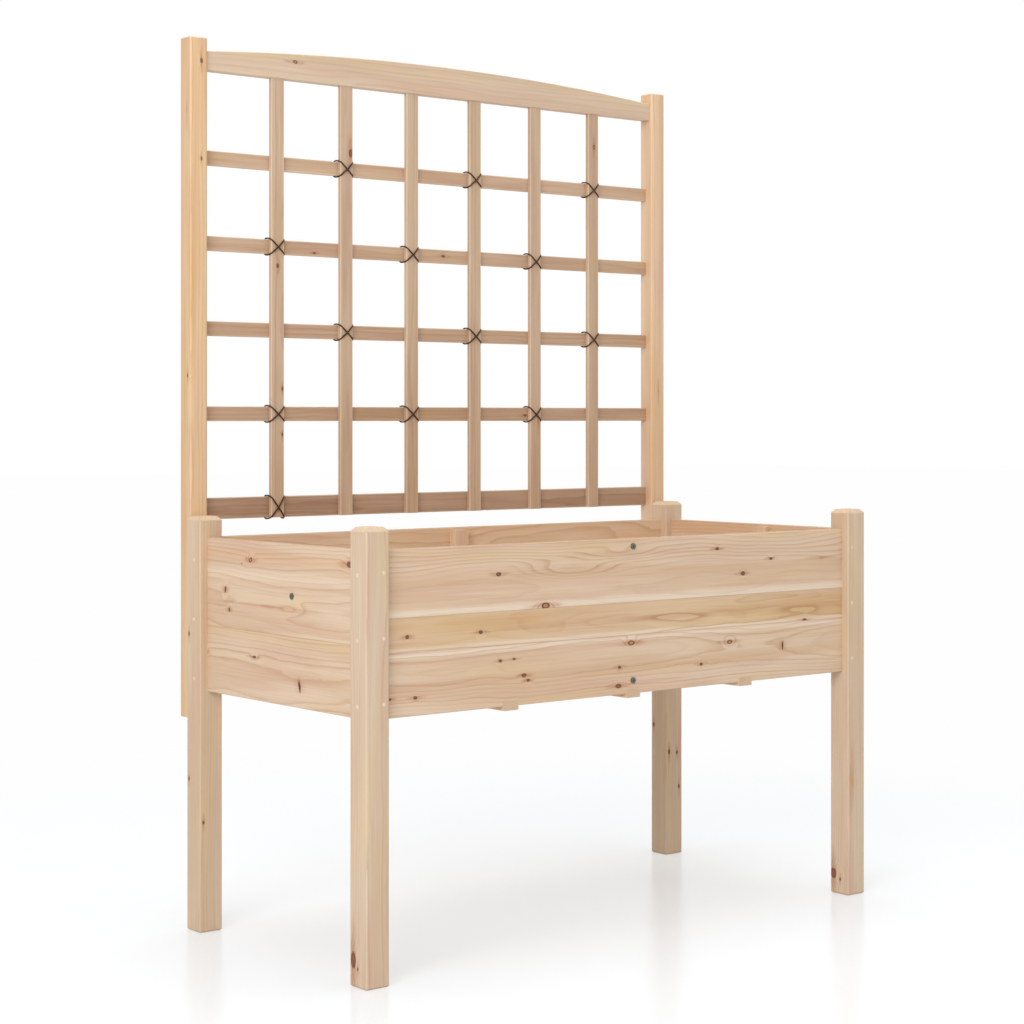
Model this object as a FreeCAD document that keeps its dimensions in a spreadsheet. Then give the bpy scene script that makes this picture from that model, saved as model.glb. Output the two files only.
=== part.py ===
import FreeCAD, Part
import math
import os
import re
import Sketcher

# A raised wooden planter on four legs, with a lattice trellis standing behind it.
# X runs along the front, Y to the rear and Z up; the origin is under the middle, on the ground.

doc = FreeCAD.newDocument("PlanterWithTrellis")

drivingSizes = [
    ("boxWidth", 1220.0, "planter over the legs, left to right"),
    ("boxDepth", 580.0, "planter over the legs, front to rear"),
    ("legSide", 48.0, "square leg"),
    ("legHeight", 770.0, "leg, ground to top"),
    ("legRound", 3.5, "rounding of the leg's upright edges"),
    ("legTopChamfer", 7.5, "chamfer round the leg's top"),
    ("legFootChamfer", 3.0, "chamfer round the leg's foot"),
    ("panelSetback", 16.0, "panel face behind the leg's outer face"),
    ("panelThick", 16.0, "thickness of the panel boards"),
    ("panelTop", 731.0, "height of the panels' top edge"),
    ("panelBottom", 446.0, "height of the panels' bottom edge"),
    ("seamUpper", 614.0, "height of the long panels' upper glue seam"),
    ("seamLower", 554.0, "height of the long panels' lower glue seam"),
    ("seamEnd", 569.0, "height of the end panels' glue seam"),
    ("tongue", 14.0, "how far a panel enters the groove in a leg"),
    ("boardChamfer", 1.2, "chamfer of a panel's free edges"),
    ("pinTop", 689.5, "height of the top row of pins that hold the long panels"),
    ("pinPitch", 110.0, "spacing of the pins up a leg"),
    ("pinStagger", 4.0, "cross pins sit this much higher, clear of the long ones"),
    ("pinFromFront", 26.0, "long pins, from the leg's front or rear face"),
    ("pinFromSide", 36.5, "cross pins, from the leg's outer side"),
    ("pinDiameter", 3.0, "headless pin"),
    ("longPin", 56.0, "length of the pins that enter a long panel's end"),
    ("crossPin", 34.0, "length of the pins across a long panel's tongue"),
    ("plugDiameter", 7.0, "wooden plug over a pin"),
    ("plugDeep", 6.0, "depth of the plug's hole"),
    ("battenWide", 34.0, "bottom batten"),
    ("battenThick", 14.5, "bottom batten, top to underside"),
    ("battenLet", 7.0, "how far the batten is let into the long panels"),
    ("battenProud", 1.0, "batten end in front of the panel's face"),
    ("battenPitch", 289.0, "spacing of the three battens"),
    ("ledgerWide", 24.0, "ledger along each end panel"),
    ("ledgerThick", 10.0, "ledger, top to underside"),
    ("ledgerGap", 2.0, "ledger end to leg"),
    ("floorThick", 12.0, "floor board"),
    ("floorWide", 98.0, "width of a floor board"),
    ("floorGap", 5.0, "drainage gap between floor boards"),
    ("floorEndGap", 2.0, "floor board end to end panel"),
    ("floorLegGap", 2.0, "clearance of a floor board's notch round a leg"),
    ("cleatWide", 34.0, "upright cleat inside a panel"),
    ("cleatThick", 16.0, "cleat, off the panel"),
    ("cleatTopDrop", 5.0, "cleat top below the panel's top edge"),
    ("cleatFootGap", 1.0, "cleat foot above the floor boards"),
    ("endCleatFromFront", 248.0, "end cleat's middle, from the legs' front faces"),
    ("screwUpper", 716.5, "height of the centre cleat's upper screw"),
    ("screwLower", 470.0, "height of the centre cleat's lower screw"),
    ("screwEnd", 640.0, "height of the end cleat's screw"),
    ("screwDiameter", 3.6, "shank of a panel or batten screw"),
    ("screwHead", 11.5, "wide flat head of that screw"),
    ("screwHeadThick", 1.8, "thickness of that head"),
    ("screwLength", 28.0, "panel or batten screw under its head"),
    ("postSide", 39.0, "square trellis post"),
    ("postRound", 6.4, "rounding of the post's upright edges"),
    ("postEndChamfer", 1.5, "chamfer round the post's ends"),
    ("postInset", 7.5, "post's outer side inside the leg's outer side"),
    ("postTop", 1666.0, "height of the post's top"),
    ("postBottom", 392.0, "height of the post's lower end"),
    ("postScrewTop", 732.0, "height of the upper screw through a post"),
    ("postScrewPitch", 145.0, "spacing of the three screws down a post"),
    ("postScrewDiameter", 5.0, "shank of a post screw"),
    ("postScrewHead", 12.0, "head of a post screw"),
    ("postScrewHeadThick", 2.6, "thickness of that head"),
    ("postScrewLength", 70.0, "post screw under its head"),
    ("railUnderside", 1607.0, "height of the top rail's straight underside"),
    ("railEndTall", 36.0, "top rail at the posts"),
    ("railMidTall", 61.0, "top rail at its middle"),
    ("railThick", 24.0, "top rail, front to rear"),
    ("railChamfer", 1.5, "chamfer of the top rail's long edges"),
    ("railTenon", 12.0, "how far rails and slats enter the posts"),
    ("slatPitch", 161.0, "lattice spacing, both ways"),
    ("slatTall", 28.0, "level slat"),
    ("slatThick", 9.5, "level slats and uprights, front to rear"),
    ("slatTop", 1457.5, "height of the uppermost slat's top edge"),
    ("slatChamfer", 1.0, "chamfer of slats and uprights"),
    ("bottomRailTall", 40.5, "trellis bottom rail"),
    ("bottomRailUnderside", 761.0, "height of the bottom rail's underside"),
    ("uprightWide", 29.0, "lattice upright"),
    ("uprightTenon", 10.0, "how far an upright enters the top rail"),
    ("tieWire", 3.0, "wire of the cross lashings"),
    ("tieGap", 0.4, "lashing clear of the wood"),
    ("tieTuck", 9.8, "how far a lashing's end reaches up or down behind a slat"),
    ("overcut", 1.0, "how far a cut runs past the face it opens"),
]

sizes = doc.addObject("Spreadsheet::Sheet", "Sizes")
for row, (alias, number, note) in enumerate(drivingSizes, start=1):
    sizes.set("A%d" % row, alias)
    sizes.set("B%d" % row, str(number))
    sizes.set("C%d" % row, note)
    sizes.setAlias("B%d" % row, alias)
doc.recompute()

aliases = "|".join(alias for alias, number, note in drivingSizes)


def formula(text):
    """The same text with every size name pointing at the sheet."""
    return re.sub(r"\b(%s)\b" % aliases, r"Sizes.\1", text)


def value(text):
    return float(sizes.evalExpression(formula(text)))


# Derived places, written once in words of the sheet.
frontFace = "-(boxDepth + postSide) / 2"
rearFace = "(boxDepth - postSide) / 2"
postMiddle = rearFace + " + postSide / 2"
battenTop = "(panelBottom + battenLet)"
floorTop = "(panelBottom + battenLet + floorThick)"
postInnerSide = "(boxWidth / 2 - postInset - postSide)"

# How many of each repeated piece there are.
pinCount = 3
postScrewCount = 3
floorBoardCount = 5
slatCount = 4
uprightCount = 6

pinRows = ["pinTop - %d * pinPitch" % row for row in range(pinCount)]
postScrewRows = ["postScrewTop - %d * postScrewPitch" % row for row in range(postScrewCount)]
battenPlaces = ["%d * battenPitch" % step for step in (-1, 0, 1)]
slatRows = ["slatTop - slatTall - %d * slatPitch" % row for row in range(slatCount)]
uprightPlaces = ["%g * slatPitch" % (number - (uprightCount - 1) / 2) for number in range(uprightCount)]

subParts = []


def newBody(name, place):
    """A body standing at the place given by three formulas."""
    body = doc.addObject("PartDesign::Body", name)
    body.Label = name
    for axis, text in zip("xyz", place):
        body.setExpression("Placement.Base." + axis, formula(text))
    subParts.append(body)
    return body


def planeSketch(body, role, offset="0"):
    sketch = body.newObject("Sketcher::SketchObject", body.Name + "_sketch")
    plane = next(item for item in body.Origin.OriginFeatures if item.Role == role)
    sketch.AttachmentSupport = [(plane, "")]
    sketch.MapMode = "FlatFace"
    sketch.setExpression("AttachmentOffset.Base.z", formula(offset))
    return sketch


def bind(sketch, constraint, text):
    """Add a dimension and tie it to its formula."""
    index = sketch.addConstraint(constraint)
    sketch.setExpression("Constraints[%d]" % index, formula(text))


def rectangle(sketch, left, bottom, width, height):
    """A rectangle whose lower left corner and sides are formulas."""
    low = FreeCAD.Vector(value(left), value(bottom), 0)
    wide = FreeCAD.Vector(value(width), 0, 0)
    tall = FreeCAD.Vector(0, value(height), 0)
    corners = [low, low + wide, low + wide + tall, low + tall]
    first = sketch.GeometryCount
    for start, end in zip(corners, corners[1:] + corners[:1]):
        sketch.addGeometry(Part.LineSegment(start, end), False)
    for side in range(4):
        following = first + (side + 1) % 4
        sketch.addConstraint(Sketcher.Constraint("Coincident", first + side, 2, following, 1))
    for side in (0, 2):
        sketch.addConstraint(Sketcher.Constraint("Horizontal", first + side))
        sketch.addConstraint(Sketcher.Constraint("Vertical", first + side + 1))
    bind(sketch, Sketcher.Constraint("DistanceX", -1, 1, first, 1, low.x), left)
    bind(sketch, Sketcher.Constraint("DistanceY", -1, 1, first, 1, low.y), bottom)
    bind(sketch, Sketcher.Constraint("DistanceX", first, 1, first, 2, wide.x), width)
    bind(sketch, Sketcher.Constraint("DistanceY", first + 1, 1, first + 1, 2, tall.y), height)


def polygon(sketch, across, up, diameter, sides):
    """A regular polygon inside a construction circle, its first corner level with the centre."""
    centre = FreeCAD.Vector(value(across), value(up), 0)
    radius = value(diameter) / 2
    corners = []
    for step in range(sides + 1):
        angle = 2 * math.pi * (step % sides) / sides
        corners.append(centre + FreeCAD.Vector(math.cos(angle), math.sin(angle), 0) * radius)
    ring = sketch.addGeometry(Part.Circle(centre, FreeCAD.Vector(0, 0, 1), radius), True)
    first = ring + 1
    for start, end in zip(corners, corners[1:]):
        sketch.addGeometry(Part.LineSegment(start, end), False)
    rules = []
    for step in range(sides):
        rules.append(Sketcher.Constraint("Coincident", first + step, 2, first + (step + 1) % sides, 1))
        rules.append(Sketcher.Constraint("PointOnObject", first + step, 1, ring))
        if step:
            rules.append(Sketcher.Constraint("Equal", first, first + step))
    rules.append(Sketcher.Constraint("Horizontal", ring, 3, first, 1))
    sketch.addConstraint(rules)
    bind(sketch, Sketcher.Constraint("DistanceX", -1, 1, ring, 3, centre.x), across)
    bind(sketch, Sketcher.Constraint("DistanceY", -1, 1, ring, 3, centre.y), up)
    bind(sketch, Sketcher.Constraint("Diameter", ring, radius * 2), diameter)


def pad(body, sketch, length, middle=False):
    feature = body.newObject("PartDesign::Pad", body.Name + "_pad")
    feature.Profile = sketch
    feature.Midplane = middle
    feature.setExpression("Length", formula(length))
    doc.recompute()
    return feature


def cut(body, sketch, depth, middle=False, reverse=False):
    """A pocket, checked to have taken wood away."""
    before = body.Shape.Volume
    feature = body.newObject("PartDesign::Pocket", body.Name + "_pocket")
    feature.Profile = sketch
    feature.Midplane = middle
    feature.Reversed = reverse
    feature.setExpression("Length", formula(depth))
    doc.recompute()
    if not body.Shape.Volume < before:
        raise RuntimeError("a pocket in %s cuts nothing" % body.Label)
    return feature


def alongAxis(edge, axis):
    """True for a straight edge parallel to the axis."""
    if edge.Curve.TypeId != "Part::GeomLine":
        return False
    return abs(edge.tangentAt(edge.FirstParameter).dot(axis)) > 0.999


def atHeight(edge, height):
    """True for an edge whose middle is at the height."""
    return abs(edge.CenterOfMass.z - height) < 0.01


def edgeNames(feature, chosen):
    edges = feature.Shape.Edges
    return ["Edge%d" % (number + 1) for number, edge in enumerate(edges) if chosen(edge)]


def dress(body, kind, sizeName, chosen, text):
    """A fillet or chamfer on the chosen edges of the body's last feature."""
    base = body.Tip
    feature = body.newObject("PartDesign::" + kind, body.Name + "_" + kind.lower())
    feature.Base = (base, edgeNames(base, chosen))
    feature.setExpression(sizeName, formula(text))
    doc.recompute()
    return feature


def fillet(body, chosen, radius):
    return dress(body, "Fillet", "Radius", chosen, radius)


def chamfer(body, chosen, width):
    return dress(body, "Chamfer", "Size", chosen, width)


def drill(body, role, face, inward, points, diameter, depth, sides=8):
    """Many-sided holes from a face of the body; inward is the sign of the cut along the plane's normal."""
    sketch = planeSketch(body, role, face)
    for across, up in points:
        polygon(sketch, across, up, diameter, sides)
    cut(body, sketch, depth, reverse=inward > 0)


xAxis = FreeCAD.Vector(1, 0, 0)
yAxis = FreeCAD.Vector(0, 1, 0)
zAxis = FreeCAD.Vector(0, 0, 1)

# ---- Legs: square, chamfered at both ends, grooved for the panels and drilled for the pins ----


def makeLeg(name, side, end):
    """side is -1 left or 1 right, end is -1 front or 1 rear."""
    middleY = frontFace + " + legSide / 2" if end < 0 else rearFace + " - legSide / 2"
    body = newBody(name, ("%d * (boxWidth - legSide) / 2" % side, middleY, "0"))
    section = planeSketch(body, "XY_Plane")
    rectangle(section, "-legSide / 2", "-legSide / 2", "legSide", "legSide")
    pad(body, section, "legHeight")
    top = value("legHeight")
    chamfer(body, lambda edge: atHeight(edge, top), "legTopChamfer")
    chamfer(body, lambda edge: atHeight(edge, 0), "legFootChamfer")
    fillet(body, lambda edge: alongAxis(edge, zAxis), "legRound")

    for plane, way in (("XZ_Plane", side), ("YZ_Plane", end)):
        across = "legSide / 2 - tongue" if way < 0 else "-legSide / 2 - overcut"
        groove = planeSketch(body, plane)
        rectangle(groove, across, "panelBottom", "tongue + overcut", "panelTop - panelBottom")
        cut(body, groove, "panelThick", middle=True)

    longPlace = "%d * (legSide / 2 - pinFromFront)" % end
    crossPlace = "%d * (legSide / 2 - pinFromSide)" % side
    longPoints = [(longPlace, row) for row in pinRows]
    crossPoints = [(crossPlace, row + " + pinStagger") for row in pinRows]
    outerSide = "%d * legSide / 2" % side
    outerEnd = "%d * legSide / 2" % -end
    drill(body, "YZ_Plane", outerSide, -side, longPoints, "plugDiameter", "plugDeep", 12)
    drill(body, "XZ_Plane", outerEnd, end, crossPoints, "plugDiameter", "plugDeep", 12)
    drill(body, "YZ_Plane", outerSide, -side, longPoints, "pinDiameter", "legSide - tongue")
    drill(body, "XZ_Plane", outerEnd, end, crossPoints, "pinDiameter", "plugDeep + crossPin")
    if end > 0:
        screwX = "%d * (postSide / 2 + postInset - legSide / 2)" % -side
        points = [(screwX, row) for row in postScrewRows]
        depth = "postScrewHeadThick + postScrewLength - postSide"
        drill(body, "XZ_Plane", "-legSide / 2", 1, points, "postScrewDiameter", depth)


for sideName, side in (("left", -1), ("right", 1)):
    makeLeg("leg_front_" + sideName, side, -1)
    makeLeg("leg_rear_" + sideName, side, 1)


# ---- Panels: edge-glued boards whose ends stand in the legs' grooves ----

longPanel = "boxWidth - 2 * legSide + 2 * tongue"
endPanel = "boxDepth - 2 * legSide + 2 * tongue"


def makeBoard(name, place, role, length, low, high, freeEdge):
    """A board standing on its edge; freeEdge is 1 for the top edge, -1 for the bottom one, 0 for none."""
    body = newBody(name, place)
    section = planeSketch(body, role)
    rectangle(section, "-panelThick / 2", low, "panelThick", "%s - %s" % (high, low))
    pad(body, section, length, middle=True)
    if freeEdge:
        along = xAxis if role == "YZ_Plane" else yAxis
        height = value(high if freeEdge > 0 else low)
        chamfer(body, lambda edge: alongAxis(edge, along) and atHeight(edge, height), "boardChamfer")
    return body


longBoards = [
    ("top", "seamUpper", "panelTop", 1),
    ("middle", "seamLower", "seamUpper", 0),
    ("bottom", "panelBottom", "seamLower", -1),
]
for panelName, end in (("front", -1), ("back", 1)):
    middleY = frontFace + " + panelSetback + panelThick / 2"
    if end > 0:
        middleY = rearFace + " - panelSetback - panelThick / 2"
    for row, (boardName, low, high, freeEdge) in enumerate(longBoards):
        name = panelName + "_board_" + boardName
        board = makeBoard(name, ("0", middleY, "0"), "YZ_Plane", longPanel, low, high, freeEdge)
        pinPlace = "%d * (legSide / 2 - pinFromFront)" % end
        bore = "longPin + plugDeep - legSide + tongue"
        for side in (-1, 1):
            face = "%d * (%s) / 2" % (side, longPanel)
            drill(board, "YZ_Plane", face, -side, [(pinPlace, pinRows[row])], "pinDiameter", bore)
        crossPlaces = []
        for side in (-1, 1):
            across = "%d * (boxWidth / 2 - pinFromSide)" % side
            crossPlaces.append((across, pinRows[row] + " + pinStagger"))
        drill(board, "XZ_Plane", "panelThick / 2", -1, crossPlaces, "pinDiameter", "panelThick")
        if boardName != "middle":
            points = [("0", "screwUpper" if boardName == "top" else "screwLower")]
            drill(board, "XZ_Plane", "panelThick / 2", -1, points, "screwDiameter", "panelThick")
        if boardName == "bottom":
            notches = planeSketch(board, "XZ_Plane")
            for place in battenPlaces:
                left = place + " - battenWide / 2"
                rectangle(notches, left, "panelBottom - overcut", "battenWide", "battenLet + overcut")
            cut(board, notches, "panelThick", middle=True)

for sideName, side in (("left", -1), ("right", 1)):
    place = ("%d * (boxWidth / 2 - panelSetback - panelThick / 2)" % side, "-postSide / 2", "0")
    upper = makeBoard(sideName + "_end_board_top", place, "XZ_Plane", endPanel, "seamEnd", "panelTop", 1)
    across = "endCleatFromFront - boxDepth / 2"
    drill(upper, "YZ_Plane", "panelThick / 2", -1, [(across, "screwEnd")], "screwDiameter", "panelThick")
    makeBoard(sideName + "_end_board_bottom", place, "XZ_Plane", endPanel, "panelBottom", "seamEnd", -1)

# ---- Bottom: three battens let into the long panels, two ledgers and five floor boards ----

battenLength = "boxDepth - 2 * panelSetback + 2 * battenProud"
for name, place in zip(("left", "centre", "right"), battenPlaces):
    body = newBody("batten_" + name, (place, "-postSide / 2", battenTop))
    section = planeSketch(body, "XZ_Plane")
    rectangle(section, "-battenWide / 2", "-battenThick", "battenWide", "battenThick")
    pad(body, section, battenLength, middle=True)
    underside = -value("battenThick")
    chamfer(body, lambda edge: alongAxis(edge, yAxis) and atHeight(edge, underside), "boardChamfer")
    points = [("0", "%d * (boxDepth / 2 - panelSetback - panelThick / 2)" % end) for end in (-1, 1)]
    drill(body, "XY_Plane", "-battenThick", 1, points, "screwDiameter", "battenThick")

for sideName, side in (("left", -1), ("right", 1)):
    inside = "(boxWidth / 2 - panelSetback - panelThick - ledgerWide / 2)"
    body = newBody("floor_ledger_" + sideName, ("%d * " % side + inside, "-postSide / 2", battenTop))
    section = planeSketch(body, "XZ_Plane")
    rectangle(section, "-ledgerWide / 2", "-ledgerThick", "ledgerWide", "ledgerThick")
    pad(body, section, "boxDepth - 2 * legSide - 2 * ledgerGap", middle=True)

floorLength = "(boxWidth - 2 * panelSetback - 2 * panelThick - 2 * floorEndGap)"
for number in range(floorBoardCount):
    step = number - (floorBoardCount - 1) / 2
    across = "-postSide / 2 + %g * (floorWide + floorGap)" % step
    body = newBody("floor_board_%d" % (number + 1), ("0", across, battenTop))
    section = planeSketch(body, "XY_Plane")
    rectangle(section, "-%s / 2" % floorLength, "-floorWide / 2", floorLength, "floorWide")
    pad(body, section, "floorThick")
    if number in (0, floorBoardCount - 1):
        end = -1 if number == 0 else 1
        legLine = "%g * (boxDepth / 2 - legSide - floorLegGap) - %g * (floorWide + floorGap)" % (end, step)
        notches = planeSketch(body, "XY_Plane")
        for side in (-1, 1):
            notchWide = "(legSide - panelSetback - panelThick + floorLegGap)"
            left = "-%s / 2 - overcut" % floorLength
            if side > 0:
                left = "%s / 2 + floorEndGap - %s" % (floorLength, notchWide)
            bottom = "-floorWide / 2 - overcut" if end < 0 else legLine
            tall = "floorWide / 2 + overcut - %d * (%s)" % (end, legLine)
            rectangle(notches, left, bottom, notchWide + " - floorEndGap + overcut", tall)
        cut(body, notches, "2 * floorThick", middle=True)

# ---- Cleats: upright strips that hold the glued boards together from inside ----

cleatTall = "panelTop - cleatTopDrop - cleatFootGap - " + floorTop


def makeCleat(name, place, role, face, inward, screwHeights):
    body = newBody(name, place)
    section = planeSketch(body, "XY_Plane")
    wide, deep = "cleatWide", "cleatThick"
    if role == "YZ_Plane":
        wide, deep = deep, wide
    rectangle(section, "-%s / 2" % wide, "-%s / 2" % deep, wide, deep)
    pad(body, section, cleatTall)
    points = [("0", "%s - %s - cleatFootGap" % (height, floorTop)) for height in screwHeights]
    drill(body, role, face, inward, points, "screwDiameter", "screwLength - panelThick")


cleatFoot = floorTop + " + cleatFootGap"
inset = "(panelSetback + panelThick + cleatThick / 2)"
makeCleat("centre_cleat_front", ("0", frontFace + " + " + inset, cleatFoot),
          "XZ_Plane", "cleatThick / 2", -1, ("screwUpper", "screwLower"))
makeCleat("centre_cleat_back", ("0", rearFace + " - " + inset, cleatFoot),
          "XZ_Plane", "-cleatThick / 2", 1, ("screwUpper", "screwLower"))
cleatY = frontFace + " + endCleatFromFront"
makeCleat("end_cleat_left", ("-boxWidth / 2 + " + inset, cleatY, cleatFoot),
          "YZ_Plane", "-cleatThick / 2", 1, ("screwEnd",))
makeCleat("end_cleat_right", ("boxWidth / 2 - " + inset, cleatY, cleatFoot),
          "YZ_Plane", "cleatThick / 2", -1, ("screwEnd",))

# ---- Trellis posts: rounded, mortised on the inner side for the rails and slats ----


def makePost(name, side):
    body = newBody(name, ("%d * (boxWidth / 2 - postInset - postSide / 2)" % side, postMiddle, "0"))
    section = planeSketch(body, "XY_Plane", "postBottom")
    rectangle(section, "-postSide / 2", "-postSide / 2", "postSide", "postSide")
    pad(body, section, "postTop - postBottom")
    low = value("postBottom")
    high = value("postTop")
    fillet(body, lambda edge: alongAxis(edge, zAxis), "postRound")
    chamfer(body, lambda edge: atHeight(edge, low) or atHeight(edge, high), "postEndChamfer")

    mortises = planeSketch(body, "YZ_Plane", "%d * postSide / 2" % -side)
    for bottom in slatRows:
        rectangle(mortises, "0", bottom, "slatThick", "slatTall")
    rectangle(mortises, "0", "bottomRailUnderside", "slatThick", "bottomRailTall")
    rectangle(mortises, "-railThick / 2", "railUnderside", "railThick", "railEndTall")
    cut(body, mortises, "railTenon", reverse=side > 0)

    points = [("0", row) for row in postScrewRows]
    drill(body, "XZ_Plane", "-postSide / 2", 1, points, "postScrewHead", "postScrewHeadThick", 12)
    drill(body, "XZ_Plane", "-postSide / 2", 1, points, "postScrewDiameter", "postSide")


makePost("trellis_post_left", -1)
makePost("trellis_post_right", 1)

# ---- Top rail: straight underside, one shallow arc above, mortised for the uprights ----


def makeTopRail():
    body = newBody("trellis_top_rail", ("0", postMiddle, "railUnderside"))
    rise = "(railMidTall - railEndTall)"
    radius = "(%s ^ 2 + %s ^ 2) / (2 * %s)" % (postInnerSide, rise, rise)
    half = postInnerSide + " + railTenon"
    halfLong = value(half)
    arcRadius = value(radius)
    crown = FreeCAD.Vector(0, value("railMidTall"), 0)
    centreHeight = crown.y - arcRadius
    endTall = centreHeight + math.sqrt(arcRadius ** 2 - halfLong ** 2)

    profile = planeSketch(body, "XZ_Plane")
    lowLeft = FreeCAD.Vector(-halfLong, 0, 0)
    lowRight = FreeCAD.Vector(halfLong, 0, 0)
    highLeft = FreeCAD.Vector(-halfLong, endTall, 0)
    highRight = FreeCAD.Vector(halfLong, endTall, 0)
    underside = profile.addGeometry(Part.LineSegment(lowLeft, lowRight), False)
    rightEnd = profile.addGeometry(Part.LineSegment(lowRight, highRight), False)
    leftEnd = profile.addGeometry(Part.LineSegment(highLeft, lowLeft), False)
    arch = profile.addGeometry(Part.Arc(highRight, crown, highLeft), False)
    profile.addConstraint(Sketcher.Constraint("Coincident", underside, 2, rightEnd, 1))
    profile.addConstraint(Sketcher.Constraint("Coincident", rightEnd, 2, arch, 1))
    profile.addConstraint(Sketcher.Constraint("Coincident", arch, 2, leftEnd, 1))
    profile.addConstraint(Sketcher.Constraint("Coincident", leftEnd, 2, underside, 1))
    profile.addConstraint(Sketcher.Constraint("Horizontal", underside))
    profile.addConstraint(Sketcher.Constraint("Vertical", rightEnd))
    profile.addConstraint(Sketcher.Constraint("Vertical", leftEnd))
    profile.addConstraint(Sketcher.Constraint("PointOnObject", arch, 3, -2))
    profile.addConstraint(Sketcher.Constraint("Symmetric", underside, 1, underside, 2, -1, 1))
    bind(profile, Sketcher.Constraint("DistanceX", -1, 1, underside, 2, halfLong), half)
    bind(profile, Sketcher.Constraint("DistanceY", -1, 1, arch, 3, centreHeight), "railMidTall - " + radius)
    bind(profile, Sketcher.Constraint("Radius", arch, arcRadius), radius)
    pad(body, profile, "railThick", middle=True)
    chamfer(body, lambda edge: edge.Length > halfLong, "railChamfer")

    mortises = planeSketch(body, "XY_Plane")
    for place in uprightPlaces:
        rectangle(mortises, place + " - uprightWide / 2", "-slatThick", "uprightWide", "slatThick")
    cut(body, mortises, "uprightTenon", reverse=True)


makeTopRail()

# ---- Lattice: level slats behind, uprights in front, one wider rail at the bottom ----


def makeStick(name, place, role, left, bottom, wide, tall, length, middle):
    """A straight slat with its four long edges chamfered."""
    body = newBody(name, place)
    section = planeSketch(body, role)
    rectangle(section, left, bottom, wide, tall)
    pad(body, section, length, middle=middle)
    along = xAxis if role == "YZ_Plane" else zAxis
    chamfer(body, lambda edge: alongAxis(edge, along), "slatChamfer")


slatLength = "2 * %s + 2 * railTenon" % postInnerSide
for number, bottom in enumerate(slatRows, start=1):
    makeStick("trellis_slat_%d" % number, ("0", postMiddle, bottom),
              "YZ_Plane", "0", "0", "slatThick", "slatTall", slatLength, True)
makeStick("trellis_bottom_rail", ("0", postMiddle, "bottomRailUnderside"),
          "YZ_Plane", "0", "0", "slatThick", "bottomRailTall", slatLength, True)
uprightTall = "railUnderside + uprightTenon - bottomRailUnderside"
for number, across in enumerate(uprightPlaces, start=1):
    makeStick("trellis_upright_%d" % number, (across, postMiddle, "bottomRailUnderside"),
              "XY_Plane", "-uprightWide / 2", "-slatThick", "uprightWide", "slatThick", uprightTall, False)


# ---- Groups of small pieces: each is one shape repeated at its places ----


def makeGroup(name, solids):
    group = doc.addObject("Part::Feature", name)
    group.Label = name
    group.Shape = Part.makeCompound(solids)
    group.Placement = FreeCAD.Placement()
    subParts.append(group)


def point(across, deep, up):
    return FreeCAD.Vector(value(across), value(deep), value(up))


def prism(diameter, length, place, direction, sides=8):
    """A many-sided rod from the place along the direction, turned as the holes are."""
    across = yAxis if abs(direction.x) > 0.5 else xAxis
    up = yAxis if abs(direction.z) > 0.5 else zAxis
    corners = []
    for step in range(sides + 1):
        angle = 2 * math.pi * (step % sides) / sides
        spoke = across * math.cos(angle) + up * math.sin(angle)
        corners.append(place + spoke * (diameter / 2))
    return Part.Face(Part.makePolygon(corners)).extrude(direction * length)


def headed(kind, length, place, direction):
    """A screw: a flat head with its outer face at the place, and its shank along the direction."""
    thick = value(kind + "HeadThick")
    head = prism(value(kind + "Head"), thick, place, direction, 12)
    shank = prism(value(kind + "Diameter"), thick + value(length), place, direction)
    return head.fuse(shank).removeSplitter()


plugs = []
pins = []
for side in (-1, 1):
    outerX = "%d * boxWidth / 2" % side
    crossX = "%d * (boxWidth / 2 - pinFromSide)" % side
    for end in (-1, 1):
        outerY = frontFace if end < 0 else rearFace
        longY = outerY + " - %d * pinFromFront" % end
        for row in pinRows:
            for place, direction, length in (
                (point(outerX, longY, row), xAxis * -side, "longPin"),
                (point(crossX, outerY, row + " + pinStagger"), yAxis * -end, "crossPin"),
            ):
                plugs.append(prism(value("plugDiameter"), value("plugDeep"), place, direction, 12))
                foot = place + direction * value("plugDeep")
                pins.append(prism(value("pinDiameter"), value(length), foot, direction))
makeGroup("leg_plugs", plugs)
makeGroup("leg_pins", pins)

panelScrews = []
frontPanelFace = frontFace + " + panelSetback"
backPanelFace = rearFace + " - panelSetback"
for height in ("screwUpper", "screwLower"):
    for face, direction in ((frontPanelFace, yAxis), (backPanelFace, yAxis * -1)):
        seat = point("0", face, height) - direction * value("screwHeadThick")
        panelScrews.append(headed("screw", "screwLength", seat, direction))
for side in (-1, 1):
    seat = point("%d * (boxWidth / 2 - panelSetback + screwHeadThick)" % side, cleatY, "screwEnd")
    panelScrews.append(headed("screw", "screwLength", seat, xAxis * -side))
makeGroup("panel_screws", panelScrews)

battenScrews = []
for across in battenPlaces:
    for deep in (frontPanelFace + " + panelThick / 2", backPanelFace + " - panelThick / 2"):
        seat = point(across, deep, battenTop + " - battenThick - screwHeadThick")
        battenScrews.append(headed("screw", "battenThick", seat, zAxis))
makeGroup("batten_screws", battenScrews)

postScrews = []
for side in (-1, 1):
    across = "%d * (boxWidth / 2 - postInset - postSide / 2)" % side
    for row in postScrewRows:
        seat = point(across, rearFace + " + postSide", row)
        postScrews.append(headed("postScrew", "postScrewLength", seat, yAxis * -1))
makeGroup("post_screws", postScrews)

# ---- Cross lashings: two bent wires over a crossing, hooked behind the level slat ----

# The columns that are tied on each row, counted from the left; the last row is the bottom rail.
tiedColumns = [(1, 3, 5), (0, 2, 4), (1, 3, 5), (0, 2, 4), (0,)]


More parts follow.
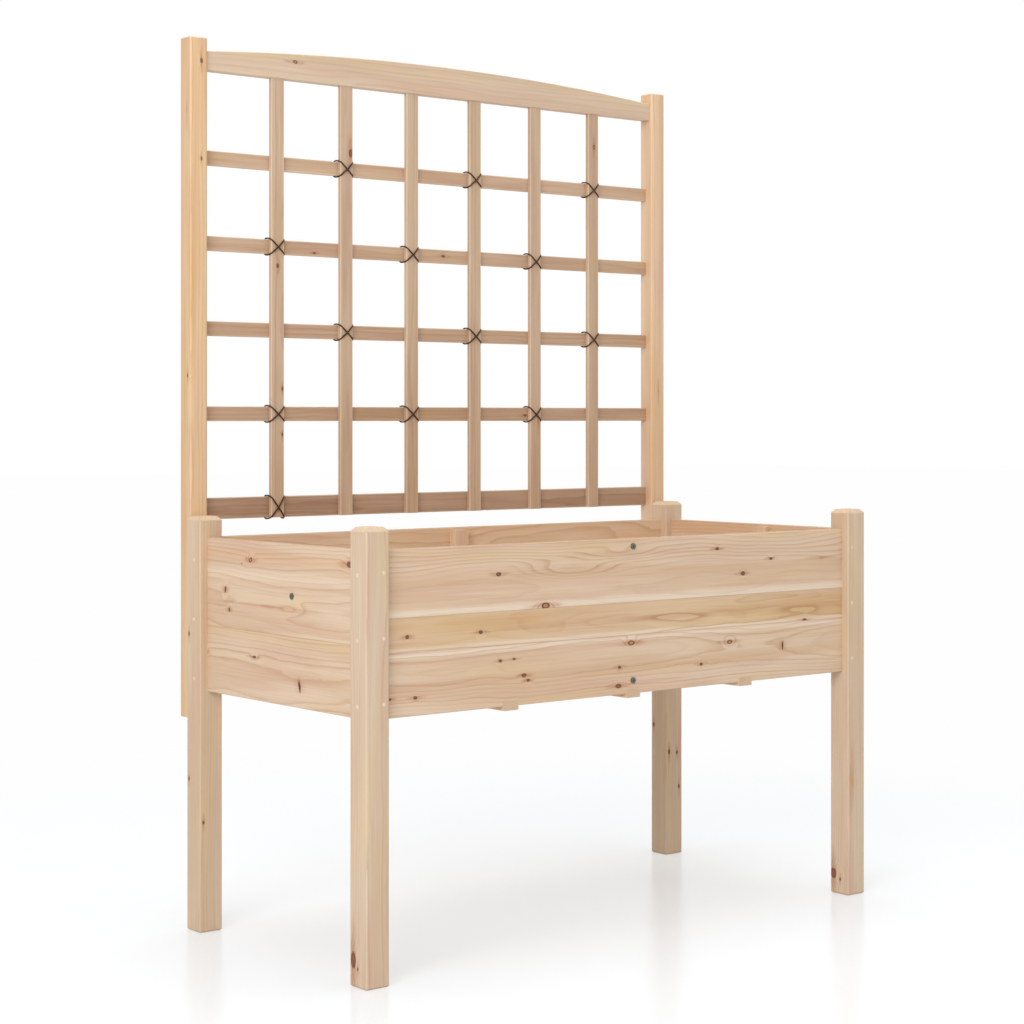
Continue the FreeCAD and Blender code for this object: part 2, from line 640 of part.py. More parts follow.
def bentWire(corners, radius):
    """A six-sided wire of straight runs through the corners, mitred where it turns."""
    path = Part.makePolygon(corners)
    square = (corners[1] - corners[0]).normalize().cross(xAxis)
    sides = 6
    ring = []
    for step in range(sides + 1):
        angle = 2 * math.pi * (step % sides) / sides
        spoke = xAxis * math.cos(angle) + square * math.sin(angle)
        ring.append(corners[0] + spoke * radius)
    mitred = 1
    return path.makePipeShell([Part.makePolygon(ring)], True, False, mitred)


def lashing(row, column):
    radius = value("tieWire") / 2
    off = radius + value("tieGap")
    middleX = value(uprightPlaces[column])
    middleY = value(postMiddle)
    bottom, tall = "bottomRailUnderside", "bottomRailTall"
    if row < slatCount:
        bottom, tall = slatRows[row], "slatTall"
    middleZ = value(bottom) + value(tall) / 2
    beside = value("uprightWide") / 2 + off
    above = value(tall) / 2 + off
    tucked = above - value("tieTuck")
    behind = middleY + value("slatThick") + off
    wires = []
    for layer, way in enumerate((1, -1)):
        ahead = middleY - value("slatThick") - off - layer * (value("tieWire") + value("tieGap"))
        left = middleX - way * beside
        right = middleX + way * beside
        corners = [
            FreeCAD.Vector(left, behind, middleZ - tucked),
            FreeCAD.Vector(left, behind, middleZ - above),
            FreeCAD.Vector(left, ahead, middleZ - above),
            FreeCAD.Vector(right, ahead, middleZ + above),
            FreeCAD.Vector(right, behind, middleZ + above),
            FreeCAD.Vector(right, behind, middleZ + tucked),
        ]
        wires.append(bentWire(corners, radius))
    return wires


ties = []
for row, columns in enumerate(tiedColumns):
    for column in columns:
        ties.extend(lashing(row, column))
makeGroup("lattice_ties", ties)

# ---- Check every feature, then write one file for each sub-part ----

doc.recompute()
for item in doc.Objects:
    if "Invalid" in item.State or "Error" in item.State:
        raise RuntimeError("%s has failed: %s" % (item.Name, item.State))
for part in subParts:
    if part.Shape.isNull() or not part.Shape.isValid() or part.Shape.Volume <= 0:
        raise RuntimeError("%s has no sound shape" % part.Label)

os.makedirs("parts", exist_ok=True)
for part in subParts:
    part.Shape.exportStep("parts/%s.step" % part.Label)
    print("%-24s %2d solid(s) %12.0f mm3" % (part.Label, len(part.Shape.Solids), part.Shape.Volume))
print(len(subParts), "sub-parts written")
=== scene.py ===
import math

import bpy
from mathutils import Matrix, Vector


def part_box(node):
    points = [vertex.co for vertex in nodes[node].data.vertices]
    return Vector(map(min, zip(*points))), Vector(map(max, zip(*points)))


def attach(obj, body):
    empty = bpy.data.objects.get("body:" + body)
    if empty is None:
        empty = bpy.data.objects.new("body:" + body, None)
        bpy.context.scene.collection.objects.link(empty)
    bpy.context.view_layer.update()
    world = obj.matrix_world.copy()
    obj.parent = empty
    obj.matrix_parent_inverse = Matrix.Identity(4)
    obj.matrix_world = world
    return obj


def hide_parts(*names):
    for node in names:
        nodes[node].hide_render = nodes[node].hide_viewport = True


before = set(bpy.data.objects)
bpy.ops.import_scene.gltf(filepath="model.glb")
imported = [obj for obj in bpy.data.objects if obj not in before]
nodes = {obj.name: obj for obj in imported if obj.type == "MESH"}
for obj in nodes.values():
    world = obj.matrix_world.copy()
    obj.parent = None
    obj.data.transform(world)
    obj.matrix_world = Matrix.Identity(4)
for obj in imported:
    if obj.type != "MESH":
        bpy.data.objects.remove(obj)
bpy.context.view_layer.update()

mm = 0.001
print("frame loaded,", len(nodes), "nodes")


# Shader graphs. A Link is one output socket, and Python's own signs on it add Math nodes.
class Link:
    def __init__(self, graph, socket):
        self.graph = graph
        self.socket = socket

    def __add__(self, other):
        return self.graph.maths("ADD", self, other)

    def __sub__(self, other):
        return self.graph.maths("SUBTRACT", self, other)

    def __rsub__(self, other):
        return self.graph.maths("SUBTRACT", other, self)

    def __mul__(self, other):
        return self.graph.maths("MULTIPLY", self, other)

    def __truediv__(self, other):
        return self.graph.maths("DIVIDE", self, other)

    __radd__ = __add__
    __rmul__ = __mul__


class Graph:
    def __init__(self, owner):
        self.owner = owner
        owner.use_nodes = True
        self.tree = owner.node_tree
        self.tree.nodes.clear()

    def node(self, kind, settings=None, inputs=None, output=0):
        made = self.tree.nodes.new("ShaderNode" + kind)
        for key, setting in (settings or {}).items():
            setattr(made, key, setting)
        for key, given in (inputs or {}).items():
            if isinstance(given, Link):
                self.tree.links.new(given.socket, made.inputs[key])
            else:
                made.inputs[key].default_value = given
        return Link(self, made.outputs[output]) if made.outputs else None

    def maths(self, operation, *values):
        return self.node("Math", {"operation": operation}, dict(enumerate(values)))

    def step(self, value, low, high):  # smooth rise from 0 at low to 1 at high
        sockets = {"Value": value, "From Min": low, "From Max": high}
        return self.node("MapRange", {"interpolation_type": "SMOOTHSTEP"}, sockets)

    def noise(self, x, y, z, detail=2.0, roughness=0.5):
        where = self.node("CombineXYZ", None, {0: x, 1: y, 2: z})
        sockets = {"Vector": where, "Detail": detail, "Roughness": roughness, "Scale": 1.0}
        return self.node("TexNoise", None, sockets)

    def mix(self, under, over, factor):  # two colours
        return self.node("Mix", {"data_type": "RGBA"}, {0: factor, 6: under, 7: over}, 2)

    def split(self, vector):
        first = self.node("SeparateXYZ", None, {0: vector})
        return [Link(self, output) for output in first.socket.node.outputs]

    def seen(self):  # 1 for what the camera sees straight, mirrored or through something
        kinds = ("Is Camera Ray", "Is Glossy Ray", "Is Transmission Ray")
        camera, glossy, through = [self.node("LightPath", output=kind) for kind in kinds]
        return self.maths("MAXIMUM", self.maths("MAXIMUM", camera, glossy), through)

    def finish(self, sockets):
        surface = self.node("BsdfPrincipled", None, sockets)
        self.node("OutputMaterial", None, {"Surface": surface})
        return self.owner


def materialGraph(name):
    return Graph(bpy.data.materials.new(name))


def shade(red, green, blue):  # a colour as it is seen, 0 to 255, turned to the shader's own scale
    linear = []
    for part in (red, green, blue):
        part = part / 255
        linear.append(part / 12.92 if part < 0.04045 else ((part + 0.055) / 1.055) ** 2.4)
    return (*linear, 1.0)


# Sawn fir. Growth rings lie round a pith outside the board, so each face shows its own cut of them.
# Lengths and places are in millimetres, colours as they are seen. A knot is (place along, place across,
# axis across, radius, stretch, tilt, kind), and a band is (place, width, colour, strength).
woodDefaults = {
    "along": "x", "face": "z", "deep": "y",
    "seed": 1.0,
    "pith": (8.0, -62.0),
    "ring": 5.2,
    "wave": 30.0,
    "pale": (222, 196, 168), "warm": (214, 182, 148), "late": (176, 128, 90),
    "pink": (210, 173, 148), "straw": (219, 190, 146),
    "lines": 0.55,
    "bands": [],
    "knots": [],
    "rough": 0.58,
    "shine": 0.32,
    # how strongly arrises are painted paler: partly wear, partly a painted edge highlight
    "wearAndHighlight": 0.35,
    "seams": False,
}
# the paler arris colour stands for wear and for a painted edge highlight together
woodShades = {
    "light": (236, 215, 192), "halo": (172, 108, 64), "seam": (128, 90, 60),
    "wearAndHighlight": (238, 219, 196), "end": (196, 164, 134),
}
grainSizes = {  # length along, length across, detail, roughness
    "warp": (430, 95, 1.5, 0.5), "ripple": (60, 13, 2.0, 0.5), "fibre": (46, 0.55, 3.0, 0.6),
    "streak": (210, 2.6, 3.0, 0.55), "cloud": (520, 42, 2.0, 0.5), "tint": (330, 26, 2.5, 0.5),
}
grainAmounts = {
    "ripple": 2.6, "pink": 0.65, "straw": 0.45, "darkStreak": 0.26, "darkFibre": 0.16,
    "light": 0.22, "seam": 0.35, "end": 0.5, "bump": 0.28, "bumpDeep": 0.35,
}
knotKinds = {  # core colour, rim colour, core, rim and halo strength, how far the grain bends
    "dark": ((112, 62, 38), (70, 38, 24), 0.85, 0.8, 0.75, 1.3),
    "ringed": ((176, 122, 84), (74, 42, 28), 0.8, 0.95, 0.85, 2.0),
    "red": ((128, 62, 38), (84, 40, 26), 0.85, 0.75, 0.75, 1.0),
    "slit": ((74, 36, 24), (150, 84, 50), 0.95, 0.5, 0.35, 0.0),
    "stain": ((190, 126, 80), (178, 116, 74), 0.5, 0.1, 0.6, 0.5),
    "pale": ((224, 192, 152), (196, 148, 106), 0.35, 0.6, 0.3, 1.1),
    "amber": ((204, 150, 92), (206, 158, 106), 0.65, 0.2, 0.5, 0.4),
    "swirl": ((206, 164, 124), (196, 148, 106), 0.0, 0.0, 0.3, 1.7),
}
knotShape = {  # edges of each mask, in parts of the knot's radius
    "scale": 0.74, "ragged": 1.1, "bend": (0.0, 4.6),
    "core": (0.72, 1.05), "rimRise": (0.55, 0.95), "rimFall": (1.0, 1.4),
    "halo": (0.6, 2.4), "haloRagged": 1.6, "haloLong": 9.0, "haloNarrow": 1.6, "tone": (1.6, 1.5),
}


def makeKnots(graph, look, point, wobble):
    # each knot's own distance field pushes the rings aside and marks its core, rim and halo
    push, core, rim, halo, tones = 0.0, 0.0, 0.0, 0.0, None
    for knotAlong, knotAcross, axisAcross, radius, stretch, tilt, kind in look["knots"]:
        coreShade, rimShade, coreGain, rimGain, haloGain, bend = knotKinds[kind]
        runs = point[look["along"]] - knotAlong
        sides = point[axisAcross] - knotAcross
        if tilt:
            runs = runs + sides * tilt
        runs = runs / stretch
        reach = radius * knotShape["scale"]
        distance = graph.maths("SQRT", runs * runs + sides * sides) / reach
        ragged = distance + (wobble - 0.5) * knotShape["ragged"]
        if bend:
            push = (1 - graph.step(distance, *knotShape["bend"])) * (bend * radius) + push
        thisCore = (1 - graph.step(ragged, *knotShape["core"])) * coreGain
        rise = graph.step(ragged, *knotShape["rimRise"])
        thisRim = rise * (1 - graph.step(ragged, *knotShape["rimFall"])) * rimGain
        longRuns = runs * runs / knotShape["haloLong"]
        streaked = graph.maths("SQRT", longRuns + sides * sides * knotShape["haloNarrow"]) / reach
        streaked = streaked + (wobble - 0.5) * knotShape["haloRagged"]
        thisHalo = (1 - graph.step(streaked, *knotShape["halo"])) * haloGain
        core = graph.maths("MAXIMUM", core, thisCore)
        rim = graph.maths("MAXIMUM", rim, thisRim)
        halo = graph.maths("MAXIMUM", halo, thisHalo)
        shades = [shade(*coreShade), shade(*rimShade)]
        if tones is None:
            tones = shades
        else:
            near = graph.step(distance, *knotShape["tone"])
            tones = [graph.mix(under, over, near) for under, over in zip(tones, shades)]
    return push, core, rim, halo, tones


def makeWood(name, node, **changes):
    look = {**woodDefaults, **changes}
    graph = materialGraph(name)
    low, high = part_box(node)
    axes = "xyz"
    centre = {axis: (low[i] + high[i]) / 2 / mm for i, axis in enumerate(axes)}
    half = {axis: (high[i] - low[i]) / 2 / mm for i, axis in enumerate(axes)}
    metres = graph.split(graph.node("TexCoord", output=3))
    point = {axis: part * 1000.0 for axis, part in zip(axes, metres)}
    along = point[look["along"]] - centre[look["along"]]
    across = point[look["face"]] - centre[look["face"]]
    deep = point[look["deep"]] - centre[look["deep"]]
    seed = look["seed"] * 7.31
    wobble = graph.noise(across * 0.11, along * 0.03 + seed, deep * 0.11, detail=3.0)

    def pattern(kind, shift):
        far, near, detail, roughness = grainSizes[kind]
        return graph.noise(along / far + shift, across / near, deep / near, detail=detail, roughness=roughness)

    def tinted(under, over, factor):
        return graph.mix(under, shade(*over), factor)

    push, core, rim, halo, knotTones = makeKnots(graph, look, point, wobble)

    # growth rings
    warp = (pattern("warp", seed) - 0.5) * look["wave"]
    ripple = (pattern("ripple", seed) - 0.5) * grainAmounts["ripple"]
    fromPithA = across - look["pith"][0]
    fromPithB = deep - look["pith"][1]
    radius = graph.maths("SQRT", fromPithA * fromPithA + fromPithB * fromPithB)
    ringPlace = (radius + warp + ripple + push) / look["ring"]
    ringNumber = graph.maths("FLOOR", ringPlace)
    ringPart = graph.maths("FRACT", ringPlace)
    ringWeight = graph.node("TexWhiteNoise", {"noise_dimensions": "1D"}, {"W": ringNumber + seed})
    lateWood = graph.step(ringPart, 0.3, 0.9) * 0.45 + graph.step(ringPart, 0.66, 0.92) * 0.55
    lateWood = lateWood * (1 - graph.step(ringPart, 0.93, 1.0)) * (ringWeight * 0.8 + 0.2)

    # long fibres, streaks and slow changes of tone
    fibre = pattern("fibre", seed)
    streak = pattern("streak", seed)
    cloud = pattern("cloud", seed * 2)
    tint = pattern("tint", seed * 3)
    colour = graph.mix(shade(*look["pale"]), shade(*look["warm"]), graph.step(cloud, 0.36, 0.66))
    colour = tinted(colour, look["pink"], graph.step(tint, 0.5, 0.7) * grainAmounts["pink"])
    colour = tinted(colour, look["straw"], graph.step(tint, 0.5, 0.3) * grainAmounts["straw"])
    for bandPlace, bandWide, bandShade, bandGain in look["bands"]:
        edge = graph.maths("ABSOLUTE", point[look["face"]] - bandPlace + warp * 0.12 + ripple)
        band = (1 - graph.step(edge, bandWide * 0.1, bandWide * 0.85)) * bandGain
        colour = tinted(colour, bandShade, band)
    colour = tinted(colour, look["late"], lateWood * look["lines"])
    darkStreak = graph.step(streak, 0.52, 0.78) * grainAmounts["darkStreak"]
    darkFibre = graph.step(fibre, 0.48, 0.8) * grainAmounts["darkFibre"]
    colour = tinted(colour, look["late"], darkStreak + darkFibre)
    colour = tinted(colour, woodShades["light"], graph.step(streak, 0.46, 0.24) * grainAmounts["light"])
    if knotTones:
        colour = tinted(colour, woodShades["halo"], halo * (lateWood * 0.5 + streak * 0.7 + 0.2))
        colour = graph.mix(colour, knotTones[0], core)
        colour = graph.mix(colour, knotTones[1], rim)

    # glue seams as a hair line, or arrises painted paler (partly wear, partly a painted edge highlight), and
    # end grain darker
    nearA = half[look["face"]] - graph.maths("ABSOLUTE", across)
    nearB = half[look["deep"]] - graph.maths("ABSOLUTE", deep)
    if look["seams"]:
        colour = tinted(colour, woodShades["seam"], (1 - graph.step(nearA, 0.15, 0.9)) * grainAmounts["seam"])
    else:
        arrisWearAndHighlight = 1 - graph.step(graph.maths("MAXIMUM", nearA, nearB) + (streak - 0.5) * 3, 0.4, 3.2)
        colour = tinted(colour, woodShades["wearAndHighlight"], arrisWearAndHighlight * look["wearAndHighlight"])
    normal = graph.split(graph.node("NewGeometry", output=1))[axes.index(look["along"])]
    endGrain = graph.step(graph.maths("ABSOLUTE", normal), 0.75, 0.95)
    colour = tinted(colour, woodShades["end"], endGrain * grainAmounts["end"])

    height = lateWood * 0.35 + fibre * 0.5 + streak * 0.35
    if knotTones:
        height = height - rim * 0.8
    bumpSockets = {
        "Strength": grainAmounts["bump"], "Distance": grainAmounts["bumpDeep"] * mm, "Height": height,
    }
    return graph.finish({
        "Base Color": colour,
        "Roughness": graph.step(fibre, 0.2, 0.8) * 0.12 + look["rough"] - lateWood * 0.06,
        "Specular IOR Level": look["shine"],
        "Normal": graph.node("Bump", None, bumpSockets),
    })


def dress(node, **look):
    # a CAD node keeps its shape and takes a wood of its own
    piece = nodes[node]
    piece.data.materials.clear()
    piece.data.materials.append(makeWood(node + "_wood", node, **look))


# Front panel: three glued boards, the middle one more ochre, pale sapwood beside the seams.
frontPanel = {
    "top": {
        "seed": 1.0, "pith": (-30, -74), "ring": 5.2, "wave": 36, "lines": 0.55,
        "pale": (219, 192, 166), "warm": (212, 181, 150), "late": (182, 138, 100),
        "bands": [(619, 17, (232, 212, 190), 0.85), (668, 14, (206, 170, 136), 0.45)],
        "knots": [
            (-316, 679, "z", 4.2, 1.5, 0, "dark"), (215, 704, "z", 3.4, 1.6, 0, "dark"),
            (284, 654, "z", 4.6, 1.3, 0, "dark"), (360, 680, "z", 3.2, 1.5, 0, "dark"),
            (503, 676, "z", 3.0, 4.0, 0, "stain"), (-209, 618, "z", 6.0, 1.8, 0, "ringed"),
            (-152, 679, "z", 8.0, 6.0, 0.3, "swirl"), (-40, 704, "z", 6.0, 7.0, 0, "swirl"),
        ],
    },
    "middle": {
        "seed": 2.0, "pith": (6, -58), "ring": 4.8, "wave": 40, "lines": 0.62,
        "pale": (216, 186, 150), "warm": (206, 168, 124), "late": (180, 132, 84),
        "bands": [(557, 9, (232, 212, 190), 0.7)],
        "knots": [
            (-514, 581, "z", 4.0, 1.1, 0, "dark"), (-356, 580, "z", 3.8, 1.4, 0, "dark"),
            (413, 583, "z", 7.0, 9.0, 0, "swirl"), (60, 583, "z", 7.0, 14.0, 0, "swirl"),
            (454, 556, "z", 3.4, 1.8, 0, "dark"),
        ],
    },
    "bottom": {
        "seed": 3.0, "pith": (12, -66), "ring": 4.8, "wave": 36, "lines": 0.58,
        "pale": (220, 194, 168), "warm": (212, 180, 148), "late": (180, 134, 96),
        "bands": [(548, 10, (234, 214, 193), 0.7), (496, 12, (204, 166, 132), 0.4)],
        "knots": [
            (-497, 477, "z", 3.2, 1.5, 0, "dark"), (-550, 478, "z", 2.6, 1.2, 0, "dark"),
            (-312, 527, "z", 3.2, 1.4, 0, "dark"), (-281, 528, "z", 2.6, 1.6, 0, "dark"),
            (-259, 498, "z", 4.0, 1.6, 0, "red"), (-249, 488, "z", 3.0, 1.4, 0, "dark"),
            (-4, 539, "z", 5.4, 1.6, 0, "ringed"), (-33, 496, "z", 3.4, 1.4, 0, "dark"),
            (-36, 462, "z", 5.0, 1.8, 0, "red"), (248, 525, "z", 4.6, 1.7, 0, "ringed"),
            (392, 509, "z", 11.0, 0.26, 0, "slit"), (173, 488, "z", 3.2, 1.4, 0, "dark"),
        ],
    },
}
for board, look in frontPanel.items():
    dress("front_board_" + board, seams=True, **look)

# Back panel, seen from behind and inside.
backPanel = {
    "top": {
        "seed": 11.0, "pith": (22, 66),
        "knots": [(-402, 690, "z", 4.4, 1.5, 0, "dark"), (130, 655, "z", 5.2, 1.6, 0, "ringed")],
    },
    "middle": {"seed": 12.0, "pith": (-14, 58), "knots": [(310, 585, "z", 3.8, 1.5, 0, "dark")]},
    "bottom": {
        "seed": 13.0, "pith": (-20, 70),
        "knots": [(-188, 505, "z", 5.0, 1.6, 0, "ringed"), (440, 487, "z", 3.4, 1.4, 0, "dark")],
    },
}
for board, look in backPanel.items():
    dress("back_board_" + board, seams=True, lines=0.42, ring=6.0, **look)
print("long panels dressed")

# End panels: two wide boards each.
endPanels = {
    "left_end_board_top": {
        "seed": 21.0, "pith": (-34, 82), "ring": 5.4, "wave": 30, "lines": 0.46,
        "pale": (218, 192, 166), "warm": (210, 180, 150),
        "bands": [(704, 18, (214, 176, 140), 0.6), (672, 20, (232, 213, 192), 0.5)],
        "knots": [
            (74, 697, "z", 5.5, 1.1, 0.5, "ringed"), (104, 689, "z", 1.8, 1.0, 0, "dark"),
            (160, 638, "z", 6.5, 0.6, 0.2, "dark"), (146, 603, "z", 5.0, 0.7, 0, "dark"),
            (-49, 616, "z", 6.0, 4.6, 0, "pale"), (20, 617, "z", 3.0, 14.0, 0, "stain"),
            (-238, 704, "z", 6.5, 1.4, 0, "red"),
        ],
    },
    "left_end_board_bottom": {
        "seed": 22.0, "pith": (-26, 74), "ring": 4.6, "wave": 24, "lines": 0.5,
        "pale": (218, 192, 166), "warm": (211, 181, 150),
        "knots": [
            (229, 519, "z", 4.0, 1.2, 0, "dark"), (62, 523, "z", 3.2, 2.2, 0, "dark"),
            (-85, 485, "z", 15.0, 0.3, -0.17, "slit"),
        ],
    },
    "right_end_board_top": {
        "seed": 23.0, "pith": (-20, -70), "ring": 6.6, "lines": 0.36,
        "knots": [(-120, 660, "z", 5.0, 1.5, 0, "ringed"), (150, 600, "z", 3.6, 1.3, 0, "dark")],
    },
    "right_end_board_bottom": {
        "seed": 24.0, "pith": (18, -66), "ring": 6.0, "lines": 0.4,
        "knots": [(60, 500, "z", 4.2, 1.4, 0, "dark")],
    },
}
for node, look in endPanels.items():
    dress(node, along="y", face="z", deep="x", seams=True, **look)
print("end panels dressed")

# Legs: quarter-sawn stock, close straight lines, and only a faint paler arris (wear and painted edge
# highlight).
legStock = {
    "along": "z", "face": "x", "deep": "y", "ring": 5.0, "wave": 24, "lines": 0.34, "wearAndHighlight": 0.08,
    "pale": (213, 190, 165), "warm": (206, 179, 150), "late": (180, 140, 107),
}
legs = {
    "leg_front_left": {
        "seed": 31.0, "pith": (70, 96),
        "knots": [(45, -272, "y", 8.0, 1.9, 0.15, "red"), (32, -285, "y", 2.6, 1.3, 0, "dark")],
    },
    "leg_front_right": {
        "seed": 32.0, "pith": (-84, 80),
        "knots": [
            (40, -270, "y", 8.5, 1.4, 0, "red"), (228, 573, "x", 7.5, 2.2, 0, "amber"),
            (30, -288, "y", 2.6, 1.4, 0, "dark"), (610, -270, "y", 6.0, 4.0, 0, "stain"),
        ],
    },
    "leg_rear_left": {
        "seed": 33.0, "pith": (64, -90),
        "knots": [
            (551, 262, "y", 3.0, 1.5, 0, "dark"), (281, 262, "y", 3.0, 1.6, 0, "dark"),
            (204, -603, "x", 2.8, 1.4, 0, "dark"),
        ],
    },
    "leg_rear_right": {
        "seed": 34.0, "pith": (-70, -76),
        "knots": [
            (224, 571, "x", 3.6, 1.6, 0, "dark"), (221, 594, "x", 3.4, 1.5, 0, "dark"),
            (146, 600, "x", 3.2, 1.8, 0, "dark"), (281, 262, "y", 3.4, 1.6, 0, "dark"),
        ],
    },
}
for node, look in legs.items():
    dress(node, **legStock, **look)
print("legs dressed")

# Trellis posts: yellower, smoother stock with well rounded corners.
postStock = {
    "along": "z", "face": "x", "deep": "y", "ring": 4.0, "wave": 10, "lines": 0.46,
    "late": (190, 142, 96), "rough": 0.36, "shine": 0.5,
}
posts = {
    "trellis_post_left": {
        "seed": 41.0, "pith": (52, 60), "pale": (223, 189, 148), "warm": (213, 170, 120),
        "knots": [
            (1622, -578, "x", 3.4, 1.8, 0, "dark"), (1439, -578, "x", 2.2, 2.0, 0, "dark"),
            (1531, 283, "y", 2.4, 5.0, 0, "stain"), (1032, 280, "y", 3.0, 1.6, 0, "dark"),
        ],
    },
    "trellis_post_right": {
        "seed": 42.0, "pith": (-58, 54), "pale": (230, 200, 168), "warm": (220, 182, 142),
        "knots": [(1012, 583, "x", 3.0, 2.5, 0, "stain")],
    },
}
for node, look in posts.items():
    dress(node, **postStock, **look)

# Top and bottom rails; the bottom rail's darker tones are painted shade.
rails = {
    "trellis_top_rail": {
        "seed": 51.0, "pith": (-40, -60), "ring": 5.6, "lines": 0.36, "wave": 26,
        "pale": (211, 187, 163), "warm": (203, 177, 150), "late": (178, 142, 112),
        "knots": [(-364, 1642, "z", 4.2, 1.5, 0.3, "ringed")],
    },
    "trellis_bottom_rail": {
        "seed": 66.0, "pith": (-10, -44), "ring": 5.0, "wave": 20, "lines": 0.44,
        # darker tones here are painted shade along the bottom of the trellis
        "pale": (186, 156, 131), "warm": (175, 142, 115), "late": (142, 102, 76),
        "pink": (170, 136, 114), "straw": (180, 150, 120),
    },
}
for node, look in rails.items():
    dress(node, **look)

# Slats: each lower one is painted darker, painted shade deepening toward the bottom of the trellis.
slats = {
    "stock": {
        "ring": 4.8, "wave": 18, "lines": 0.46,
        "late": (158, 114, 84), "pink": (186, 148, 124), "straw": (198, 166, 128),
    },
    "pale": (208, 178, 151), "warm": (198, 164, 133), "paintedShadeStep": 4,
    "knots": {
        2: [(4, 1283, "z", 3.2, 1.5, 0, "dark"), (-312, 1275, "z", 2.4, 1.6, 0, "dark")],
        4: [(220, 958, "z", 3.0, 1.5, 0, "dark")],
    },
}
for number in range(1, 5):
    pale, warm = [tuple(part - slats["paintedShadeStep"] * number for part in slats[tone]) for tone in ("pale", "warm")]
    dress("trellis_slat_%d" % number, seed=60.0 + number, pith=(6 - 9 * number, -40), pale=pale, warm=warm,
          knots=slats["knots"].get(number, []), **slats["stock"])

uprights = {
    "stock": {
        "along": "z", "face": "x", "deep": "y", "ring": 4.6, "wave": 16, "lines": 0.42,
        "pale": (204, 177, 150), "warm": (193, 163, 133), "late": (158, 116, 86),
        "pink": (186, 152, 128), "straw": (198, 168, 130),
    },
    "knots": {
        1: [(1246, -403, "x", 3.4, 1.6, 0, "dark"), (1009, -392, "x", 2.6, 1.5, 0, "dark"),
            (921, -392, "x", 2.6, 1.6, 0, "dark")],
        2: [(1475, -232, "x", 5.6, 1.5, 0, "red")],
        5: [(944, 249, "x", 4.0, 1.6, 0, "stain")],
        6: [(1536, 404, "x", 4.4, 1.5, 0, "ringed")],
    },
}
for number in range(1, 7):
    dress("trellis_upright_%d" % number, seed=70.0 + number, pith=(20 - 11 * number, -38),
          knots=uprights["knots"].get(number, []), **uprights["stock"])
print("trellis dressed")

# Floor boards, battens, ledgers and cleats: plainer sawn wood.
floorStock = {"along": "x", "face": "y", "deep": "z", "ring": 6.4, "lines": 0.44, "rough": 0.68}
for number in range(1, 6):
    knot = (-420 + 190 * number, -290 + 103 * number - 41, "y", 4.6, 1.5, 0, "ringed")
    pith = (14 - 8 * number, -52)
    dress("floor_board_%d" % number, seed=80.0 + number, pith=pith, knots=[knot], **floorStock)
innerStock = {"face": "x", "ring": 4.6, "wave": 14, "lines": 0.42, "rough": 0.66}
innerPieces = {  # the way that each one's grain runs
    "batten_left": "y", "batten_centre": "y", "batten_right": "y",
    "floor_ledger_left": "y", "floor_ledger_right": "y",
    "centre_cleat_front": "z", "centre_cleat_back": "z", "end_cleat_left": "z", "end_cleat_right": "z",
}
for number, (node, along) in enumerate(innerPieces.items()):
    dress(node, seed=90.0 + number, along=along, deep="z" if along == "y" else "y", **innerStock)
print("inner pieces dressed")


def settle(piece, material):
    # a finished piece: its place goes into its mesh, and it rides with the rest
    bpy.ops.object.select_all(action="DESELECT")
    piece.select_set(True)
    bpy.context.view_layer.objects.active = piece
    bpy.ops.object.transform_apply(location=True, rotation=True, scale=True)
    piece.data.materials.clear()
    piece.data.materials.append(material)
    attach(piece, "root")


def startPiece(name):
    piece = bpy.context.active_object
    piece.name = name
    piece.data.name = name
    return piece


def applyAll(piece):
    bpy.context.view_layer.objects.active = piece
    for modifier in list(piece.modifiers):
        bpy.ops.object.modifier_apply(modifier=modifier.name)


def copies(master, places, name):
    # one copy of the master for each (place, way that its top faces), joined into one piece
    bpy.ops.object.select_all(action="DESELECT")
    master.select_set(True)
    bpy.context.view_layer.objects.active = master
    bpy.ops.object.transform_apply(location=True, rotation=True, scale=True)
    made = []
    for place, facing in places:
        copy = master.copy()
        copy.data = master.data.copy()
        bpy.context.scene.collection.objects.link(copy)
        copy.rotation_mode = "QUATERNION"
        copy.rotation_quaternion = Vector((0, 0, 1)).rotation_difference(Vector(facing))
        copy.location = place
        made.append(copy)
    bpy.ops.object.select_all(action="DESELECT")
    for copy in made:
        copy.select_set(True)
    bpy.context.view_layer.objects.active = made[0]
    bpy.ops.object.transform_apply(location=True, rotation=True, scale=True)
    bpy.ops.object.join()
    joined = startPiece(name)
    bpy.data.objects.remove(master)
    return joined


def flatFaces(piece, test):
    # goes into edit mode with only the faces that pass selected
    bpy.ops.object.mode_set(mode="EDIT")
    bpy.ops.mesh.select_all(action="DESELECT")
    bpy.ops.object.mode_set(mode="OBJECT")
    for face in piece.data.polygons:
        face.select = test(face)
    bpy.ops.object.mode_set(mode="EDIT")


# Screw with a domed, cross-recessed head, whose outer face looks along +Z. All but thick grow with the head.
screw = {
    "head": 11.5, "shank": 3.6, "long": 9.0, "dome": 0.7, "domeSteps": ((0.12, 0.6), (0.14, 0.4)),
    "recessWide": 2.2, "recessLong": 7.4, "recessDeep": 3.0, "recessTaper": 0.45,
    "zinc": (88, 90, 82), "zincWorn": (144, 146, 128), "rust": (70, 58, 44),
}


